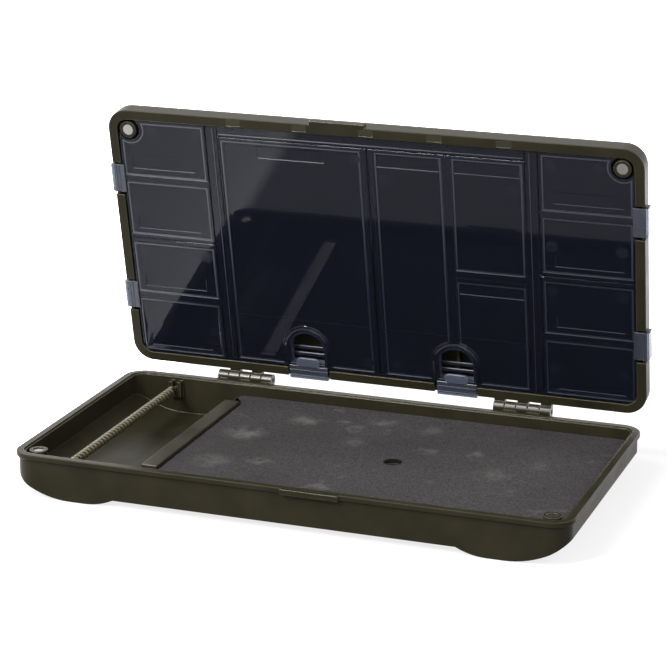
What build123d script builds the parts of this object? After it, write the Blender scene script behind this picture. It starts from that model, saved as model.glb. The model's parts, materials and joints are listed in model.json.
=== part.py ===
# Fishing rig box: a shallow base tray with a rig spring and a lift-out foam board,
# and a hinged lid whose compartments are closed by smoke-clear flip covers.
# Millimetres, +Z up. The box is drawn with its middle at x = y = 0 and its feet at z = 0,
# the lid is drawn closed and then turned open, and all of it is moved so that the
# origin is the middle of the underside of the whole open object.
import os
from math import cos, sin, pi, radians, sqrt
from build123d import *

os.makedirs("parts", exist_ok=True)

# the box outside
box_width = 360
box_depth = 184.5
base_height = 28
lid_height = 16.5
corner_radius = 14
open_angle = 79
closing_gap = 0.2

# base shell
flange_out = 1.5
flange_height = 3.3
flange_rounding = 0.6
base_wall = 4.5
floor_thickness = 2.4
rim_width = 4.6
rim_step = 1
foot_inset = 45
foot_flat = 10
foot_drop = 4.5
foot_outer_radius = 58.5
foot_inner_radius = 44
overrun = 1

# opening lips on the two front edges
lip_length = 37.4
lip_gap = 1.4
lip_out = 2.3
lid_lip_depth = 4
lip_rounding = 0.8

# hinges
left_hinge_inset = 81.9
right_hinge_inset = 82.8
hinge_back = 5.75
hinge_rise = 0.6
knuckle_length = 7.9
knuckle_count = 5
knuckle_gap = 0.8
knuckle_radius = 4.15
pin_radius = 1.5
pin_clearance = 0.05
pin_recess = 1.2

# magnets
magnet_side = 14
magnet_front = 13.6
magnet_radius = 3.5
magnet_height = 2
magnet_clearance = 0.05
boss_radius = 5.6
base_boss_drop = 0.4
base_magnet_sink = 0.6
lid_boss_drop = 0.3
boss_rib = 1.6
boss_rib_drop = 3

# rig spring and the forks that hold it
spring_inset = 35.5
spring_drop = 7.5
wire_radius = 1.15
coil_radius = 1.85
spring_turns = 35
spring_turn_in = 4.7
spring_tail = 4
fork_drop = 2.9
fork_prong = 2.6
fork_slot = 3.4
fork_length = 4.5
fork_height = 11
fork_seat_gap = 0.05
spring_fork_gap = 0.3

# lift-out board with its foam
bay_width = 79.8
divider_wall = 2
board_support = 3
board_play = 1.5
plate_thickness = 2.5
foam_thickness = 3
foam_drop = 7.4
foam_rounding = 1
strip_width = 10.4
strip_end_gap = 17.25
strip_rise = 1.4
strip_rounding = 0.4
foam_gap = 1.2
ear_inset = 3.5
finger_hole_x = 42.9
finger_hole_y = -5.9
finger_hole_radius = 5.9
boss_play = 1.5

# lid shell
lid_wall = 2
lid_rounding = 7.5
frame_width = 6.2
frame_edge_rounding = 0.5
cover_recess = 1.4
notch_depth = 2.2
catch_mark_length = 9.3
catch_mark_width = 4.2
catch_mark_depth = 0.3
catch_mark_pitch = 45.4
catch_mark_count = 5

# compartments in the lid
cell_wall = 1.6
wall_drop = 0.3
column_strip_seat = 3.2
strip_bridge = 2.7
cross_divider_y = 4.9
finger_well = 34
finger_well_depth = 5

# clear covers and their fixed strips
cover_thickness = 1.5
cover_edge_gap = 0.4
film_gap = 0.3
side_film_inset = 68.3
centre_split = -1
strip_outer_gap = 0.3
side_strip_width = 8.2
centre_strip_width = 7.5
cover_rounding = 0.35
skirt_height = 1.2
skirt_width = 1
skirt_gap = 1
label_length = 45.2
label_width = 7.7
label_depth = 0.3
label_inner_gap = 8.8
label_rise = 11.4
label_rise_last = 8.6
centre_label_drop = 8.2
centre_label_width = 10.4
boss_cut_radius = 6.9
groove_width = 0.7
groove_depth = 0.4
side_groove_count = 13
side_groove_length = 3
centre_groove_pitch = 28.8
centre_groove_count = 6

# latches of the covers
tab_width = 19.7
tab_side_gap = 1.8
tab_thickness = 1.5
tab_sink = 0.4
tab_leg = 8
tab_rounding = 0.5
centre_latch_width = 27.4
latch_side_gap = 1.3
finger_tab_width = 16.6
finger_tab_reach = 7
thumb_hole_radius = 12
thumb_hole_height = 20.5
thumb_hole_foot = 3.4
thumb_ring_radius = 16
thumb_ring_rise = 0.9

half_width = box_width / 2
half_depth = box_depth / 2
rim = base_height
lid_rim = rim + closing_gap
lid_top = lid_rim + lid_height
hinge_y = half_depth + hinge_back
hinge_z = rim + hinge_rise
board_top = rim - foam_drop - foam_thickness
board_under = board_top - plate_thickness
open_half_x = half_width - frame_width
open_half_y = half_depth - frame_width
foot_middle = half_width - foot_inset
hinge_places = {-1: left_hinge_inset - half_width, 1: half_width - right_hinge_inset}
spring_x = -half_width + spring_inset
divider_x = -half_width + bay_width
side_film_x = half_width - side_film_inset
column_inner = side_film_x - column_strip_seat
centre_outer = column_inner - strip_bridge
centre_latch_x = (side_film_x - side_strip_width) / 2
cross_divider_x = centre_latch_x
side_divider_pitch = open_half_y / 2
side_groove_pitch = 2 * open_half_y / (side_groove_count + 1 / 2)
cover_outer = lid_rim + cover_recess
cover_inner = cover_outer + cover_thickness
wall_top = cover_inner + wall_drop
cell_floor = lid_top - lid_wall
magnet_x = half_width - magnet_side
magnet_y = -half_depth + magnet_front
open_turn = radians(open_angle)

# the middle of the open object, front to back: base lip to the rounded back of the lid
round_y = half_depth - lid_rounding - hinge_y
round_z = lid_top - lid_rounding - hinge_z
back_reach = hinge_y + round_y * cos(open_turn) + round_z * sin(open_turn) + lid_rounding
middle_y = (back_reach - half_depth - lip_out) / 2


def block(x_from, x_to, y_from, y_to, z_from, z_to):
    size = Vector(x_to - x_from, y_to - y_from, z_to - z_from)
    middle = Pos((x_from + x_to) / 2, (y_from + y_to) / 2, (z_from + z_to) / 2)
    return middle * Box(size.X, size.Y, size.Z)


def rounded_block(inset, z_from, z_to):
    """The box's footprint, drawn in by inset, between two heights."""
    outline = RectangleRounded(
        box_width - 2 * inset, box_depth - 2 * inset, corner_radius - inset
    )
    return Pos(0, 0, z_from) * extrude(outline, z_to - z_from)


def post(x, y, radius, z_from, z_to):
    return Pos(x, y, (z_from + z_to) / 2) * Cylinder(radius, z_to - z_from)


def rod(x_from, x_to, y, z, radius):
    return Pos((x_from + x_to) / 2, y, z) * Rot(0, 90, 0) * Cylinder(radius, x_to - x_from)


def edges_at(shape, z):
    """The level edges of a shape at one height."""
    return shape.edges().filter_by(
        lambda e: abs(e.bounding_box().min.Z - z) + abs(e.bounding_box().max.Z - z) < pin_clearance
    )


# base shell


def underside(inset):
    """The front view of the base below its rim, drawn in by inset: two feet and the flat between."""
    side = half_width - flange_out - inset
    flat = foot_flat / 2
    outer, inner = foot_outer_radius, foot_inner_radius
    outer_x, inner_x = foot_middle + flat, foot_middle - flat
    side_z = outer - sqrt((outer - inset) ** 2 - (side - outer_x) ** 2)
    floor_z = foot_drop + inset
    kink_x = inner_x - sqrt((inner - inset) ** 2 - (inner - floor_z) ** 2)
    mid_x = (side + outer_x) / 2
    mid_z = outer - sqrt((outer - inset) ** 2 - (mid_x - outer_x) ** 2)
    rise_x = (kink_x + inner_x) / 2
    rise_z = inner - sqrt((inner - inset) ** 2 - (inner_x - rise_x) ** 2)
    top = rim + overrun
    edges = []
    for way in (1, -1):
        at = lambda x, z: Vector(way * x, 0, z)
        edges += [
            Line(at(side, top), at(side, side_z)),
            ThreePointArc(at(side, side_z), at(mid_x, mid_z), at(outer_x, inset)),
            Line(at(outer_x, inset), at(inner_x, inset)),
            ThreePointArc(at(inner_x, inset), at(rise_x, rise_z), at(kink_x, floor_z)),
        ]
    edges.append(Line(Vector(kink_x, 0, floor_z), Vector(-kink_x, 0, floor_z)))
    edges.append(Line(Vector(side, 0, top), Vector(-side, 0, top)))
    face = make_face(edges)
    return extrude(face, half_depth, dir=(0, 1, 0)) + extrude(face, half_depth, dir=(0, -1, 0))


def knuckles(turns, side, lid):
    """The barrels of one hinge at the given places along it, with the webs that carry them."""
    first = hinge_places[side] - knuckle_count * knuckle_length / 2
    shape = None
    for n in turns:
        x_from = first + n * knuckle_length + knuckle_gap / 2
        x_to = x_from + knuckle_length - knuckle_gap
        piece = rod(x_from, x_to, hinge_y, hinge_z, knuckle_radius)
        if lid:
            piece += block(x_from, x_to, half_depth - lid_wall / 2, hinge_y, hinge_z, hinge_z + knuckle_radius)
        else:
            piece += block(x_from, x_to, half_depth - flange_out, hinge_y, hinge_z - knuckle_radius, rim)
        shape = piece if shape is None else shape + piece
    bore = rod(first - overrun, first + knuckle_count * knuckle_length + overrun,
               hinge_y, hinge_z, pin_radius + pin_clearance)
    return shape - bore


def fork(end):
    """Two upright prongs on an end wall, with a seat between them that carries the spring's tail."""
    wall_y = half_depth - flange_out - base_wall
    near, far = sorted((end * (wall_y - fork_length), end * (wall_y + overrun)))
    foot = rim - fork_drop - fork_height
    shape = None
    for side in (-1, 1):
        edge = spring_x + side * fork_slot / 2
        x_from, x_to = sorted((edge, edge + side * fork_prong))
        rib = block(x_from, x_to, near, far, foot, rim - fork_drop)
        shape = rib if shape is None else shape + rib
    seat = rim - spring_drop - wire_radius - fork_seat_gap
    half_slot = fork_slot / 2
    shape += block(spring_x - half_slot, spring_x + half_slot, near, far, foot, seat)
    return shape


def base_shell():
    wall_inset = flange_out
    body = underside(0) & rounded_block(wall_inset, 0, rim)
    body = fillet(edges_at(body, 0) + edges_at(body, foot_drop), flange_rounding)
    flange = rounded_block(0, rim - flange_height, rim)
    flange = fillet(edges_at(flange, rim - flange_height) + edges_at(flange, rim), flange_rounding)
    lip = block(lip_gap, lip_gap + lip_length, -half_depth - lip_out, -half_depth + base_wall,
                rim - flange_height, rim)
    lip = fillet(lip.edges().filter_by(Axis.Z).sort_by(Axis.Y)[:2], lip_rounding)
    body = body + flange + lip
    cavity = underside(floor_thickness) & rounded_block(wall_inset + base_wall, 0, rim + overrun)
    body = body - cavity - rounded_block(rim_width, rim - rim_step, rim + overrun)
    y_wall = half_depth - flange_out - base_wall
    fittings = block(divider_x - divider_wall / 2, divider_x + divider_wall / 2, -y_wall, y_wall, 0, board_under)
    x_wall = half_width - flange_out - base_wall
    shelf = board_support
    fittings += block(divider_x, x_wall, y_wall - shelf, y_wall, board_under - shelf, board_under)
    fittings += block(divider_x, x_wall, -y_wall, -y_wall + shelf, board_under - shelf, board_under)
    fittings += block(x_wall - shelf, x_wall, -y_wall, y_wall, board_under - shelf, board_under)
    boss_top = rim - base_boss_drop
    rib_top = boss_top - boss_rib_drop
    for side in (-1, 1):
        x = side * magnet_x
        fittings += post(x, magnet_y, boss_radius, 0, boss_top)
        x_from, x_to = sorted((x, side * half_width))
        fittings += block(x_from, x_to, magnet_y - boss_rib / 2, magnet_y + boss_rib / 2, 0, rib_top)
        fittings += block(x - boss_rib / 2, x + boss_rib / 2, -half_depth, magnet_y, 0, rib_top)
    body += fittings & cavity
    for end in (-1, 1):
        body += fork(end)
    sink = magnet_height + base_magnet_sink
    for side in (-1, 1):
        body -= post(side * magnet_x, magnet_y, magnet_radius + magnet_clearance,
                     boss_top - sink, boss_top + overrun)
    return body + knuckles((0, 2, 4), -1, False) + knuckles((1, 3), 1, False)


# rig spring


def biarc(start, start_way, end, end_way):
    """Two arcs that leave start along start_way and reach end along end_way."""
    step = end - start
    a = 2 * (1 - start_way.dot(end_way))
    b = step.dot(start_way + end_way)
    reach = (sqrt(b * b + a * step.dot(step)) - b) / a
    joint = (start + start_way * reach + end - end_way * reach) / 2
    first = TangentArc(start, joint, tangent=start_way)
    return [first, TangentArc(joint, end, tangent=first % 1)]


def rig_spring():
    """A coil of half-turn biarcs whose ends turn in to the axis and run straight through the forks."""
    wall_y = half_depth - flange_out - base_wall
    half = wall_y - fork_length - spring_fork_gap
    centre_z = rim - spring_drop
    pitch = 2 * (half - spring_turn_in) / spring_turns
    climb = pitch / (2 * pi)
    speed = sqrt(coil_radius ** 2 + climb ** 2)

    def place(turn):
        angle = 2 * pi * turn
        along = pitch * (turn - spring_turns / 2)
        spot = Vector(spring_x + coil_radius * sin(angle), along, centre_z + coil_radius * cos(angle))
        way = Vector(coil_radius * cos(angle), climb, -coil_radius * sin(angle)) / speed
        return spot, way

    edges = []
    axis_way = Vector(0, 1, 0)
    first_spot, first_way = place(0)
    start = Vector(spring_x, -half, centre_z)
    tail_start = start - axis_way * spring_tail
    edges.append(Line(tail_start, start))
    edges += biarc(start, axis_way, first_spot, first_way)
    for n in range(2 * spring_turns):
        spot, way = place(n / 2)
        next_spot, next_way = place((n + 1) / 2)
        edges += biarc(spot, way, next_spot, next_way)
    last_spot, last_way = place(spring_turns)
    end = Vector(spring_x, half, centre_z)
    edges += biarc(last_spot, last_way, end, axis_way)
    edges.append(Line(end, end + axis_way * spring_tail))
    path = Wire(edges)
    section = Plane(origin=tail_start, z_dir=axis_way) * Circle(wire_radius)
    coil = sweep(section, path=path)
    bends = min(e.radius for e in edges if e.geom_type == GeomType.CIRCLE)
    spots = [path @ (n / (40 * spring_turns)) for n in range(40 * spring_turns + 1)]
    spacing = path.length / (40 * spring_turns)
    apart = int(2 * pi * wire_radius / spacing) + 1
    window = int(3 * path.length / spring_turns / spacing)
    least = min(
        (spots[a] - spots[b]).length
        for a in range(len(spots))
        for b in range(a + apart, min(a + window, len(spots)))
    )
    print("spring least gap to itself", round(least - 2 * wire_radius, 2), "least bend", round(bends, 2),
          "pitch", round(pitch, 2), "volume share", round(coil.volume / (pi * wire_radius ** 2 * path.length), 4))
    return coil


# lift-out board


def board_bounds():
    wall_inset = flange_out + base_wall + board_play
    return divider_x - divider_wall / 2, half_width - wall_inset, half_depth - wall_inset


def strip_reach():
    """From the middle to an end of the strip, which stops short of the board's edge."""
    left, right, back = board_bounds()
    return back - strip_end_gap


def boss_notch(z_from, z_to):
    """The room left for the right-hand magnet post in the corner of the board."""
    reach = boss_radius + boss_play
    corner = block(magnet_x, half_width, -half_depth, magnet_y + reach, z_from, z_to)
    corner += block(magnet_x - reach, half_width, -half_depth, magnet_y, z_from, z_to)
    return corner + post(magnet_x, magnet_y, reach, z_from, z_to)


def board_outline(z_from, z_to):
    """The board's footprint between two heights, with a finger hole and a notch for the post."""
    left, right, back = board_bounds()
    shape = block(left + ear_inset, right, -back, back, z_from, z_to)
    rounding = corner_radius - flange_out - base_wall - board_play
    shape = fillet(shape.edges().filter_by(Axis.Z), rounding)
    shape -= boss_notch(z_from - overrun, z_to + overrun)
    return shape - post(finger_hole_x, finger_hole_y, finger_hole_radius, z_from - overrun, z_to + overrun)


def board_plate():
    left, right, back = board_bounds()
    low, high = board_under, rim - foam_drop + strip_rise
    rail = block(left, left + strip_width, -strip_reach(), strip_reach(), low, high)
    rail = fillet(rail.edges().filter_by(Axis.Z) + edges_at(rail, high), strip_rounding)
    return board_outline(board_under, board_top) + rail


def foam_pad():
    left, right, back = board_bounds()
    top = rim - foam_drop
    reach = strip_reach() + foam_gap
    pad = board_outline(board_top, top)
    pad -= block(left, left + strip_width + foam_gap, -reach, reach, board_top - overrun, top + overrun)
    return fillet(edges_at(pad, top), foam_rounding)


# lid shell, drawn closed


def lid_cavity():
    room = rounded_block(lid_wall, cover_outer, cell_floor)
    return fillet(edges_at(room, cell_floor), lid_rounding - lid_wall)


def lid_shell():
    body = rounded_block(0, lid_rim, lid_top)
    body = fillet(edges_at(body, lid_top), lid_rounding)
    body = fillet(edges_at(body, lid_rim), frame_edge_rounding)
    lip = block(-lip_gap / 2 - lip_length, -lip_gap / 2, -half_depth - lip_out, -half_depth + lid_wall,
                lid_rim, lid_rim + lid_lip_depth)
    lip = fillet(lip.edges().filter_by(Axis.Z).sort_by(Axis.Y)[:2], lip_rounding)
    body = body + lip - lid_cavity() - rounded_block(frame_width, lid_rim - overrun, cover_outer)
    for side in (-1, 1):
        body += post(side * magnet_x, magnet_y, boss_radius, lid_rim + lid_boss_drop, cell_floor)
        body -= post(side * magnet_x, magnet_y, magnet_radius + magnet_clearance,
                     lid_rim + lid_boss_drop - overrun, lid_rim + lid_boss_drop + magnet_height)
        for end in (-1, 1):
            x_from, x_to = sorted((side * (open_half_x - overrun), side * (half_width + overrun)))
            reach = tab_width / 2 + tab_side_gap
            y = end * side_divider_pitch
            body -= block(x_from, x_to, y - reach, y + reach, lid_rim - overrun, lid_rim + notch_depth)
        x, reach = side * centre_latch_x, centre_latch_width / 2 + latch_side_gap
        body -= block(x - reach, x + reach, open_half_y - overrun, half_depth + overrun,
                      lid_rim - overrun, lid_rim + notch_depth)
    mark_y = -half_depth + frame_width / 2 - catch_mark_width / 2
    for n in range(catch_mark_count):
        x = (n - (catch_mark_count - 1) / 2) * catch_mark_pitch
        body -= block(x - catch_mark_length / 2, x + catch_mark_length / 2, mark_y, mark_y + catch_mark_width,
                      lid_rim - overrun, lid_rim + catch_mark_depth)
    return body + knuckles((1, 3), -1, True) + knuckles((0, 2, 4), 1, True)


# compartment walls in the lid, drawn closed


def ring(x_from, x_to, walls):
    """Walls round a stretch of the lid's opening, on the named sides."""
    y = open_half_y
    sides = {
        "front": block(x_from, x_to, -y, -y + cell_wall, wall_top, cell_floor),
        "back": block(x_from, x_to, y - cell_wall, y, wall_top, cell_floor),
        "low": block(x_from, x_from + cell_wall, -y, y, wall_top, cell_floor),
        "high": block(x_to - cell_wall, x_to, -y, y, wall_top, cell_floor),
    }
    shape = None
    for name in walls:
        shape = sides[name] if shape is None else shape + sides[name]
    return shape


def trimmed(shape):
    return shape & (rounded_block(frame_width, wall_top, cell_floor) & lid_cavity())


def column_walls(side):
    """Four compartments one above the other, beside the left or right edge."""
    x_from, x_to = sorted((side * column_inner, side * open_half_x))
    shape = ring(x_from, x_to, ("front", "back", "low", "high"))
    for n in (-1, 0, 1):
        y = n * side_divider_pitch
        shape += block(x_from, x_to, y - cell_wall / 2, y + cell_wall / 2, wall_top, cell_floor)
    shape = trimmed(shape)
    return shape - post(side * magnet_x, magnet_y, boss_radius + pin_clearance, wall_top - overrun, cell_floor + overrun)


def finger_room(side):
    x = side * centre_latch_x
    y_from = half_depth - thumb_ring_radius - thumb_hole_height
    return block(x - finger_well / 2, x + finger_well / 2, y_from, open_half_y - cell_wall,
                 wall_top - overrun, wall_top + finger_well_depth)


def centre_left_walls():
    return trimmed(ring(-centre_outer, centre_split + cell_wall / 2, ("front", "back", "low", "high")))


def centre_right_walls():
    shape = ring(centre_split + cell_wall / 2, centre_outer, ("front", "back", "high"))
    x, y = cross_divider_x, cross_divider_y
    shape += block(x - cell_wall / 2, x + cell_wall / 2, -open_half_y, open_half_y, wall_top, cell_floor)
    shape += block(x, centre_outer, y - cell_wall / 2, y + cell_wall / 2, wall_top, cell_floor)
    return trimmed(shape) - finger_room(1)


# clear covers and strips, drawn closed


def plate(x_from, x_to, y_from, y_to):
    shape = block(x_from, x_to, y_from, y_to, cover_outer, cover_inner)
    return fillet(edges_at(shape, cover_outer), cover_rounding)


def skirt(x_from, x_to, y_from, y_to):
    """A low frame on the inside of a cover that drops into one compartment."""
    outer = block(x_from, x_to, y_from, y_to, cover_inner, cover_inner + skirt_height)
    w = skirt_width
    return outer - block(x_from + w, x_to - w, y_from + w, y_to - w, cover_inner, cover_inner + skirt_height)


def label(x, y, width):
    return block(x - label_length / 2, x + label_length / 2, y - width / 2, y + width / 2,
                 cover_outer - overrun, cover_outer + label_depth)


def side_cover(side, end):
    """One of the four small covers: side is -1 left or 1 right, end is -1 front or 1 hinge side."""
    free_x = open_half_x - cover_edge_gap
    near_x = side_film_x + film_gap / 2
    far_y = open_half_y - cover_edge_gap
    x_from, x_to = sorted((side * near_x, side * free_x))
    y_from, y_to = sorted((end * film_gap / 2, end * far_y))
    shape = plate(x_from, x_to, y_from, y_to)
    lines = [0, end * side_divider_pitch, end * open_half_y]
    gap = cell_wall / 2 + skirt_gap
    skirt_x = sorted((side * (near_x + skirt_gap), side * (open_half_x - cell_wall - skirt_gap)))
    for first, second in zip(lines, lines[1:]):
        low, high = sorted((first, second))
        high_gap = gap + cell_wall / 2 if abs(high) == open_half_y else gap
        low_gap = gap + cell_wall / 2 if abs(low) == open_half_y else gap
        shape += skirt(*skirt_x, low + low_gap, high - high_gap)
        rise = label_rise_last if high == open_half_y else label_rise
        label_x = side * (side_film_x + label_inner_gap + label_length / 2)
        shape -= label(label_x, high - rise, label_width)
    if end < 0:
        z_low, z_high = cover_outer - overrun, cover_inner + skirt_height + overrun
        shape -= post(side * magnet_x, magnet_y, boss_cut_radius, z_low, z_high)
        x_cut = sorted((side * magnet_x, side * half_width))
        y_near = magnet_y
        shape -= block(*x_cut, -half_depth, y_near, z_low, z_high)
    return shape + side_tab(side, end * side_divider_pitch)


def side_tab(side, y):
    """The latch of a side cover: over the notch in the frame and down the lid's side."""
    root = open_half_x - cover_edge_gap
    outer = half_width + cover_edge_gap + tab_thickness
    low = lid_rim + tab_sink
    parts = [
        (root - tab_thickness, root, cover_inner),
        (root - tab_thickness, outer, low + tab_thickness),
        (outer - tab_thickness, outer, low + tab_leg),
    ]
    shape = None
    for x_near, x_far, z_high in parts:
        x_from, x_to = sorted((side * x_near, side * x_far))
        piece = block(x_from, x_to, y - tab_width / 2, y + tab_width / 2, low, z_high)
        shape = piece if shape is None else shape + piece
    corner = shape.edges().filter_by(Axis.Y).filter_by(
        lambda e: abs(abs(e.center().X) - outer) < film_gap and abs(e.center().Z - low) < film_gap
    )
    return fillet(corner, tab_rounding)


def arch(x, radius, top, foot, z_from, z_to):
    """An upright slot with a round top, as a solid between two heights."""
    spring_line = half_depth - (top - radius)
    low = half_depth - foot
    shape = block(x - radius, x + radius, spring_line, low, z_from, z_to)
    return shape + post(x, spring_line, radius, z_from, z_to)


def centre_latch(x):
    """The latch of a big cover: a finger tab over the thumb hole, a bridge over the frame and a leg."""
    edge_y = open_half_y - cover_edge_gap
    low = lid_rim + tab_sink
    outer = half_depth + cover_edge_gap + tab_thickness
    half = centre_latch_width / 2
    finger = finger_tab_width / 2
    shape = block(x - half, x + half, edge_y - tab_thickness, edge_y, low, cover_inner)
    shape += block(x - half, x + half, edge_y - tab_thickness, outer, low, low + tab_thickness)
    shape += block(x - half, x + half, outer - tab_thickness, outer, low, low + tab_leg)
    reach = block(x - finger, x + finger, edge_y - finger_tab_reach, edge_y, low, low + tab_thickness)
    shape += fillet(reach.edges().filter_by(Axis.Z).sort_by(Axis.Y)[:2], tab_thickness)
    corner = shape.edges().filter_by(Axis.X).filter_by(
        lambda e: abs(e.center().Y - outer) < film_gap and abs(e.center().Z - low) < film_gap
    )
    return fillet(corner, tab_rounding)


def centre_cover(side):
    """One of the two big covers, hinged along the front of the lid and latched at the back."""
    film_y = -open_half_y + strip_outer_gap + centre_strip_width + film_gap / 2
    far_x = side_film_x - side_strip_width - film_gap
    x_from, x_to = sorted((centre_split + side * film_gap, side * far_x))
    y_from, y_to = film_y + film_gap / 2, open_half_y - cover_edge_gap
    shape = plate(x_from, x_to, y_from, y_to)
    x = side * centre_latch_x
    gap = cell_wall / 2 + skirt_gap
    inner_x = cell_wall / 2 + skirt_gap
    outer_x = centre_outer - cell_wall - skirt_gap - cell_wall
    low_y, high_y = y_from + skirt_gap, open_half_y - cell_wall - skirt_gap
    if side < 0:
        cells = [(-outer_x, centre_split - inner_x, low_y, high_y)]
    else:
        cells = [
            (centre_split + inner_x, cross_divider_x - gap, low_y, high_y),
            (cross_divider_x + gap, outer_x, low_y, cross_divider_y - gap),
            (cross_divider_x + gap, outer_x, cross_divider_y + gap, high_y),
        ]
    for cell in cells:
        shape += skirt(*cell)
        label_y = cell[2] - skirt_gap + centre_label_drop
        shape -= label((cell[0] + cell[1]) / 2, label_y, centre_label_width)
    low, high = cover_outer - thumb_ring_rise, cover_inner + skirt_height
    foot = frame_width + cover_edge_gap
    shape += arch(x, thumb_ring_radius, thumb_hole_height + thumb_ring_radius, foot, low, cover_inner)
    hole_top = thumb_hole_height + thumb_hole_radius
    shape -= arch(x, thumb_hole_radius, hole_top, foot + thumb_hole_foot, low - overrun, high + overrun)
    return shape + centre_latch(x)


def grooves(shape, spots, z):
    for x, y, length_x, length_y in spots:
        shape -= block(x - length_x / 2, x + length_x / 2, y - length_y / 2, y + length_y / 2,
                       z - overrun, z + groove_depth)
    return shape


def side_strip(side):
    """The fixed strip that both covers of a column fold on."""
    edge = side_film_x - film_gap / 2
    x_from, x_to = sorted((side * (edge - side_strip_width), side * edge))
    y = open_half_y - strip_outer_gap
    shape = block(x_from, x_to, -y, y, cover_outer, wall_top)
    shape = fillet(edges_at(shape, cover_outer), cover_rounding)
    x = side * (edge - side_strip_width + skirt_width + groove_width)
    spots = [
        (x, (n - (side_groove_count - 1) / 2) * side_groove_pitch, groove_width, side_groove_length)
        for n in range(side_groove_count)
    ]
    return grooves(shape, spots, cover_outer)


def centre_strip():
    """The fixed strip along the front of the lid that both big covers fold on."""
    half = side_film_x - side_strip_width - film_gap
    y_from = -open_half_y + strip_outer_gap
    y_to = y_from + centre_strip_width
    shape = block(-half, half, y_from, y_to, cover_outer, wall_top)
    shape = fillet(edges_at(shape, cover_outer), cover_rounding)
    spots = [
        ((n - (centre_groove_count - 1) / 2) * centre_groove_pitch, (y_from + y_to) / 2,
         groove_width, centre_strip_width / 2)
        for n in range(centre_groove_count)
    ]
    return grooves(shape, spots, cover_outer)


# small metal pieces


def hinge_pin(side):
    half = knuckle_count * knuckle_length / 2 - knuckle_gap / 2 - pin_recess
    x = hinge_places[side]
    return rod(x - half, x + half, hinge_y, hinge_z, pin_radius)


def base_magnet(side):
    top = rim - base_boss_drop - base_magnet_sink
    return post(side * magnet_x, magnet_y, magnet_radius, top - magnet_height, top)


def lid_magnet(side):
    low = lid_rim + lid_boss_drop
    return post(side * magnet_x, magnet_y, magnet_radius, low, low + magnet_height)


base_pieces = {
    "base_shell": base_shell(),
    "rig_spring": rig_spring(),
    "base_magnet_left": base_magnet(-1),
    "base_magnet_right": base_magnet(1),
    "hinge_pin_left": hinge_pin(-1),
    "hinge_pin_right": hinge_pin(1),
    "board_plate": board_plate(),
    "foam_pad": foam_pad(),
}
lid_pieces = {
    "lid_shell": lid_shell(),
    "left_cell_walls": column_walls(-1),
    "centre_left_cell_walls": centre_left_walls(),
    "centre_right_cell_walls": centre_right_walls(),
    "right_cell_walls": column_walls(1),
    "lid_magnet_left": lid_magnet(-1),
    "lid_magnet_right": lid_magnet(1),
    "left_hinge_strip": side_strip(-1),
    "centre_hinge_strip": centre_strip(),
    "right_hinge_strip": side_strip(1),
    "left_upper_cover": side_cover(-1, -1),
    "left_lower_cover": side_cover(-1, 1),
    "centre_left_cover": centre_cover(-1),
    "centre_right_cover": centre_cover(1),
    "right_upper_cover": side_cover(1, -1),
    "right_lower_cover": side_cover(1, 1),
}

hinge_line = Axis((0, hinge_y, hinge_z), (1, 0, 0))
to_origin = Location((0, -middle_y, 0))
for name, shape in base_pieces.items():
    export_step(shape.moved(to_origin), f"parts/{name}.step")
for name, shape in lid_pieces.items():
    export_step(shape.rotate(hinge_line, -open_angle).moved(to_origin), f"parts/{name}.step")
print("middle_y", round(middle_y, 3), "hinge at y", round(hinge_y - middle_y, 3), "z", round(hinge_z, 3))
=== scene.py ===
import json
import math
import bpy
import numpy as np
from mathutils import Euler, Matrix, Vector
from mathutils.geometry import delaunay_2d_cdt


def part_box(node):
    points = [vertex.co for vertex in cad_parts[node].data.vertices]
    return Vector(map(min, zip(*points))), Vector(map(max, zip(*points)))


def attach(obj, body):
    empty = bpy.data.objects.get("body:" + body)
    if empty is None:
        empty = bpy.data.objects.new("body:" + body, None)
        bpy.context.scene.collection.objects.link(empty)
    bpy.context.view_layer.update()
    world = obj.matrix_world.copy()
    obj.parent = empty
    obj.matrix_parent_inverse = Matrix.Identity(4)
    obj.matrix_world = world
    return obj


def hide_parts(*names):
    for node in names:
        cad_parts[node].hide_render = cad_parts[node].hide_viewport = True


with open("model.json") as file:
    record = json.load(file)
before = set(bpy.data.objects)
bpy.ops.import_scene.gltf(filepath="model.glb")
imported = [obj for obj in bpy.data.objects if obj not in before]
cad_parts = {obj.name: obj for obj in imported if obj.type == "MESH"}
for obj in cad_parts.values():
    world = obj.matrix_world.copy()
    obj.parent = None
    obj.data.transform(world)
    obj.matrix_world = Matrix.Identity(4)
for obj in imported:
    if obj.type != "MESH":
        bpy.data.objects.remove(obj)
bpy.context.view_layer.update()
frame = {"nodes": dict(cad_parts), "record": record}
nodes = frame["nodes"]
mm = 0.001

# the tray's middle, front to back: the front magnets stand this far before it
magnetBeforeMiddleMm = 78.65
magnetLow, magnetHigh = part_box("base_magnet_left")
trayMiddleMm = (magnetLow.y + magnetHigh.y) / 2 / mm + magnetBeforeMiddleMm
fingerHoleMm = (42.9, -5.9, 5.9)  # x and y from the tray's middle, and radius


# colours and nodes

def srgb(hexValue):
    # sRGB hex to linear: the dark end is a straight line, the rest a power of 2.4
    value = hexValue.lstrip("#")
    channels = np.array([int(value[i:i + 2], 16) for i in (0, 2, 4)]) / 255
    linear = np.where(channels <= 0.04045, channels / 12.92, ((channels + 0.055) / 1.055) ** 2.4)
    return (*linear.tolist(), 1.0)


def addNode(tree, kind, settings=None, **links):
    # one node with its settings; a link is a socket of another node, anything else is a value
    node = tree.nodes.new(kind)
    for key, value in (settings or {}).items():
        setattr(node, key, value)
    for key, value in links.items():
        name = key.replace("_", " ")
        socket = node.inputs[int(key[1:])] if key[0] == "i" and key[1:].isdigit() else node.inputs[name]
        if isinstance(value, bpy.types.NodeSocket):
            tree.links.new(value, socket)
        else:
            socket.default_value = value
    return node


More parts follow.
